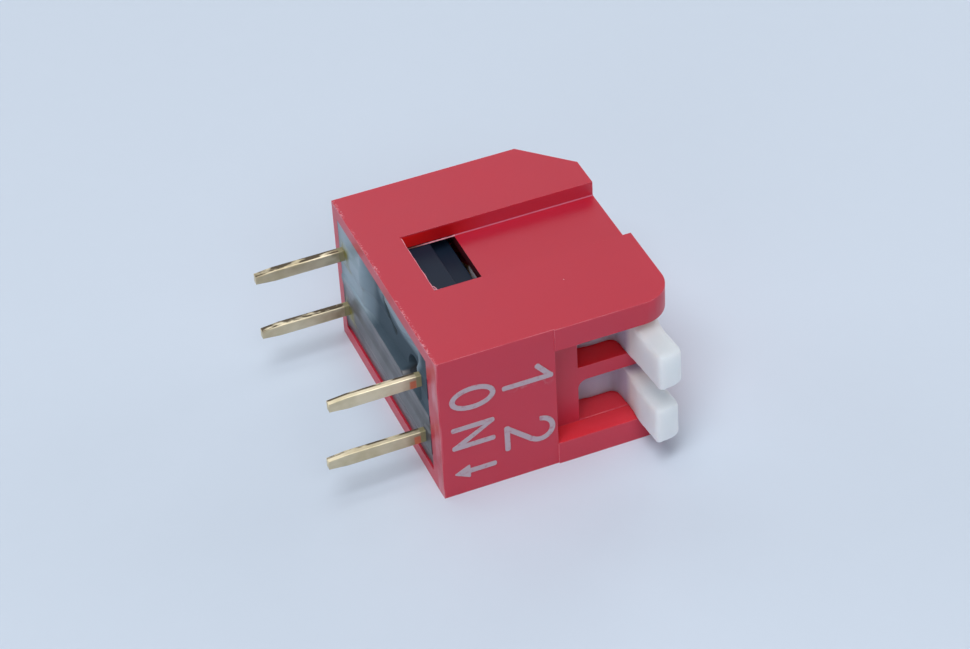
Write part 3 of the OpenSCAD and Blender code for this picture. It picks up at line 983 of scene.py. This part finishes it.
def fromTip(y, low, ends):
    start, full = lever[ends]
    return smoothStep(y, low.y + start, low.y + full)


def shapeArm(piece, way, low, high):
    # the arm in front of the housing: a squarer tip, a broad round on its upper outer edge
    out = Vector((math.cos(lever["rise"]), math.sin(lever["rise"])))
    away = Vector((out.y, -out.x))
    inX, inY = lever["tipMiddle"]
    centre = Vector((high.x - inX, low.y + inY))
    for v in piece.data.vertices:
        x, y, z = v.co / mm
        if y > low.y + lever["arm"]:
            continue
        a, b = ((Vector((x, y)) - centre).dot(side) / lever["tipRound"] for side in (out, away))
        if a > 0 and b > 0:
            power = lever["tipSquare"]
            grow = math.hypot(a, b) / (a ** power + b ** power) ** (1 / power)
            flat = centre + (out * a + away * b) * grow * lever["tipRound"]
            x, y = flat.x, flat.y
        radius = lever["shoulder"] * fromTip(y, low, "shoulderEnds")
        sideNow = (Vector((x, y)) - centre).dot(out) - (lever["tipRound"] - radius)
        upNow = z - (high.z - radius)
        if radius > 0.01 and sideNow > 0 and upNow > 0:
            over = max(math.hypot(sideNow, upNow) / radius, 1)
            x -= out.x * sideNow * (1 - 1 / over)
            y -= out.y * sideNow * (1 - 1 / over)
            z = high.z - radius + upNow / over
        x += lever["lean"][way] * fromTip(y, low, "leanEnds")
        v.co = Vector((x, max(y, low.y), z)) * mm


def softenLever(piece, way, low, high):
    # worn soft in front of the housing; the arm's underside and the hub stay crisp
    applyModifier(piece, "REMESH", mode="VOXEL", voxel_size=lever["grid"] * mm)
    shapeArm(piece, way, low, high)
    soft = piece.vertex_groups.new(name="soft")
    for v in piece.data.vertices:
        x, y, z = v.co / mm
        raised = smoothStep(z, low.z + 0.1, low.z + 0.55)
        share = fromTip(y, low, "softEnds")
        share *= lever["underside"] + (1 - lever["underside"]) * raised
        soft.add([v.index], max(share, lever["least"]), "REPLACE")
    applyModifier(piece, "SMOOTH", factor=0.5, iterations=lever["passes"], vertex_group="soft")
    smoothShade(piece, lever["smooth"])


for way in (1, 2):
    piece = copyNode(f"lever_{way}", f"whiteLever{way}")
    piece.data.materials.append(leverWhite)
    softenLever(piece, way, *boxOf(f"lever_{way}"))
    place(piece, f"lever_way_{way}", "white_plastic", f"lever_{way}")
say("levers")


def stripEdge(dieSide):
    # the die's side of the strip is rolled over, the other stays crisp
    def rule(at, way, hollow):
        if hollow:
            return 0.0
        return 1.0 if abs(way.x) > 0.9 and near(at.y, dieSide, 0.01) else pin["crisp"]
    return rule


terminals = [(row, way) for row in ("contact", "common") for way in (1, 2)]
for (row, way), (pinY, _) in zip(terminals, pinSpots):
    piece = copyNode(f"{row}_terminal_{way}", f"{row}Pin{way}")
    piece.data.materials.append(frontPlating if row == "contact" else backPlating)
    weighEdges(piece, stripEdge(pinY - pin["thick"] / 2))
    roundEdges(piece, pin["rolled"], pin["steps"])
    place(piece, "case", "pin_metal", f"{row}_terminal_{way}")
say("pins")

piece = copyNode("base", "innerBase")
piece.data.materials.append(baseDark)
weighEdges(piece, lambda at, way, hollow: 0.0 if hollow else 1.0)
roundEdges(piece, darkBase["round"], darkBase["steps"])
place(piece, "case", "base_plastic", "base")
say("base")


def toSegment(y, z, ay, az, by, bz):
    # how far a place lies from the line between two others
    run = Vector((by - ay, bz - az))
    t = min(max(((y - ay) * run.x + (z - az) * run.y) / run.length_squared, 0), 1)
    return math.hypot(y - ay - t * run.x, z - az - t * run.y)


def hollowDepth(y, z):
    # the hollow deepens towards the front and the top, up to the bank along the upper wall
    edge = fill["hollowFrom"]
    share = (
        smoothStep(z, edge - 0.03, edge + 0.07)
        * smoothStep(y, *fill["hollowFront"]) * smoothStep(y, *fill["hollowBack"])
        * smoothStep(z, sealHigh.z - 0.02, sealHigh.z - 0.35)
    )
    sink = fill["sink"] + fill["sinkUp"] * (z - edge)
    sink += fill["sinkForward"] * max(sealHigh.y - 2.2 - y, 0)
    bank, rise = fill["bank"]
    if fill["bankEnds"][0] < y < fill["bankEnds"][1]:
        bank += rise * y if y > 0 else 0.16 * y ** 2
        sink *= 1 - 0.8 * smoothStep(z, bank, bank + 1.0)
    return share * sink


def resinDepth(y, z):
    # how far the resin lies below the rim, in mm: it is poured nearly level with it
    edge = fill["hollowFrom"]
    depth = fill["level"] + fill["footDip"] * smoothStep(z, sealLow.z + 0.5, sealLow.z)
    onRidge = smoothStep(z, edge - 0.5, edge - 0.08) * smoothStep(z, edge + 0.1, edge)
    depth += hollowDepth(y, z) - fill["ridge"] * onRidge
    depth += fill["slitDeep"] * smoothStep(toSegment(y, z, *fill["slit"]), 0.12, 0.05)
    ventY, ventZ, ventR = fill["vent"]
    fromVent = math.hypot(y - ventY, z - ventZ)
    depth += fill["ventDeep"] * smoothStep(fromVent, ventR, ventR - 0.08)
    # it is drawn up at the pins, in front of them and along the walls
    for pinY, pinZ in pinSpots:
        offY, offZ = abs(y - pinY) - pin["thick"] / 2, abs(z - pinZ) - pin["wide"] / 2
        depth -= fill["pinRise"] * math.exp(-math.hypot(max(offY, 0), max(offZ, 0)) / 0.12)
        if y < pinY:
            depth -= fill["apronRise"] * smoothStep(abs(z - pinZ), 0.55, 0.25)
    fromWalls = min(y - sealLow.y, sealHigh.y - y, sealHigh.z - z)
    depth -= fill["wallRise"] * math.exp(-fromWalls / 0.09)
    depth += fill["ripple"] * noise.noise(Vector((1.1 * y, 1.4 * z, 0.3)))
    return max(depth, -fill["highest"])


span = sealHigh - sealLow
across, up = (int(n / fill["grid"]) for n in (span.y, span.z))
bpy.ops.mesh.primitive_grid_add(x_subdivisions=across, y_subdivisions=up, size=1)
piece = bpy.context.object
piece.name = "sealFill"
for v in piece.data.vertices:
    y = sealLow.y + (v.co.x + 0.5) * span.y
    z = sealLow.z + (v.co.y + 0.5) * span.z
    v.co = Vector((sealHigh.x, y, z)) * mm
editAll(piece)
bpy.ops.mesh.extrude_region_move(TRANSFORM_OT_translate={"value": (-0.5 * mm, 0, 0)})
bpy.ops.object.mode_set(mode="OBJECT")
for v in piece.data.vertices:
    if v.co.x < (sealHigh.x - 0.4) * mm:
        v.co.x = (shellLow.x + resinDepth(v.co.y / mm, v.co.z / mm)) * mm
faceOutward(piece)
piece.data.materials.append(sealResin)
smoothShade(piece)
place(piece, "case", "resin", "seal")
say("resin")

printed = {
    "round": 0.075,
    "steps": 4,
    "sharp": 60,
    "bowl": 0.5603,        # the middle of the 2's bowl, below its top
    "hook": (60, 130),     # degrees between which the 2's hook is shortened
    "hookShare": 0.50,
    "legs": (0.26, 1.25),  # the N's feet, within this of the word's end and its lower side
    "legsLess": 0.10,
}


def onStrokeEnd(at, way, hollow):
    return abs(way.y) > 0.9 and not hollow


def shortenHook(piece, low, high):
    x0, z0 = high.x - printed["bowl"], (low.z + high.z) / 2
    start, end = printed["hook"]
    for v in piece.data.vertices:
        x, y, z = v.co / mm
        turn = math.degrees(math.atan2(z - z0, x - x0))
        reach = math.hypot(x - x0, z - z0)
        if start < turn < end and reach > 0.3:
            turn = math.radians(start + (turn - start) * printed["hookShare"])
            v.co = Vector((x0 + reach * math.cos(turn), y, z0 + reach * math.sin(turn))) * mm


def shortenLegs(piece, low, high):
    fromEnd, fromSide = printed["legs"]
    for v in piece.data.vertices:
        if v.co.x > (high.x - fromEnd) * mm and v.co.z < (low.z + fromSide) * mm:
            v.co.x -= printed["legsLess"] * mm


for node in ("mark_on", "mark_arrow", "mark_1", "mark_2"):
    piece = copyNode(node, f"{node}_ink")
    piece.data.materials.append(ink)
    if node == "mark_2":
        shortenHook(piece, *boxOf(node))
    if node == "mark_on":
        shortenLegs(piece, *boxOf(node))
    roundChosen(
        piece, onStrokeEnd, printed["round"], printed["steps"], printed["sharp"], False)
    place(piece, "case", "ink", node)
say("legend")

# inside, the springs and contacts keep the CAD pieces' shape
coats = {
    "contact_spring": springMetal,
    "spring_tip": contactMetal,
    "fixed_contact": contactMetal,
}
for name, node in nodes.items():
    for start, coat in coats.items():
        if name.startswith(start):
            node.data.materials.clear()
            node.data.materials.append(coat)
say("inner metal")

room = {
    "floorSize": 1500,
    "floorTone": (0.575, 0.655, 0.768, 1),
    "floorFibre": 0.985,      # how pale the paper's fibres are beside it
    "skyTone": (0.96, 0.98, 1.0, 1),
    "skyStrength": 0.02,      # as a light
    "skySeen": 0.80,          # as the camera and glossy faces see it
    "lampTone": (0.984, 0.992, 1.0),
    "lampAway": 500,
    "lampSize": 270,
}

bpy.ops.mesh.primitive_plane_add(size=room["floorSize"] * mm, location=(0, 0, 0))
floor = bpy.context.object
floor.name = "floor"
paper, tree, shader = newMaterial("paleFloor")
fibre = cloud(tree, 900, 6)
pale = room["floorTone"]
dimmer = tuple(room["floorFibre"] * c for c in pale[:3]) + (1,)
wire(tree, mixColour(tree, fibre, pale, dimmer), shader.inputs["Base Color"])
shader.inputs["Roughness"].default_value = 0.6
bump(tree, shader, fibre, 0.2, 0.01)
floor.data.materials.append(paper)

world = bpy.data.worlds.new("studio")
bpy.context.scene.world = world
world.use_nodes = True
sky = world.node_tree.nodes["Background"]
sky.inputs["Color"].default_value = room["skyTone"]
# the world is a pale backdrop that hardly lights the object
rays = world.node_tree.nodes.new("ShaderNodeLightPath").outputs
seen = either(world.node_tree, rays["Is Camera Ray"], rays["Is Glossy Ray"],
              rays["Is Transmission Ray"])
wire(world.node_tree, stretchRange(
    world.node_tree, seen, 0, 1, room["skyStrength"], room["skySeen"]),
    sky.inputs["Strength"])

lamps = [
    # name, degrees up, degrees round from +X, power in W
    ("topSoftbox", 90, 0, 0.644),
    ("highFront", 65, 225, 1.234),
    ("front", 40, 270, 0.582),
    ("back", 40, 90, 0.200),
    ("lowRight", 15, 0, 0.454),
    ("lowBackRight", 15, 45, 0.410),
    ("lowBackLeft", 15, 135, 0.488),
    ("lowFrontLeft", 15, 225, 0.304),
]
for name, up, turn, power in lamps:
    a, b = math.radians(up), math.radians(turn)
    spot = Vector((math.cos(a) * math.cos(b), math.cos(a) * math.sin(b), math.sin(a)))
    bpy.ops.object.light_add(type="AREA", location=spot * room["lampAway"] * mm)
    lamp = bpy.context.object
    lamp.name = name
    lamp.data.shape = "DISK"
    lamp.data.size = room["lampSize"] * mm
    lamp.data.energy = power
    lamp.data.color = room["lampTone"]
    lamp.rotation_euler = (-spot).to_track_quat("-Z", "Y").to_euler()

view = {
    "place": (-26.370, -73.650, 68.562),
    "turn": (50.2778, 2.6626, -22.4595),
    "lens": 106.98,
}
bpy.ops.object.camera_add(location=Vector(view["place"]) * mm)
camera = bpy.context.object
camera.name = "camera"
camera.rotation_euler = Euler([math.radians(a) for a in view["turn"]], "XYZ")
camera.data.lens = view["lens"]
camera.data.sensor_width = 36
camera.data.clip_start = 5 * mm
camera.data.clip_end = 3
bpy.context.scene.camera = camera
bpy.context.scene.view_settings.view_transform = "Standard"
say("floor, light and camera")
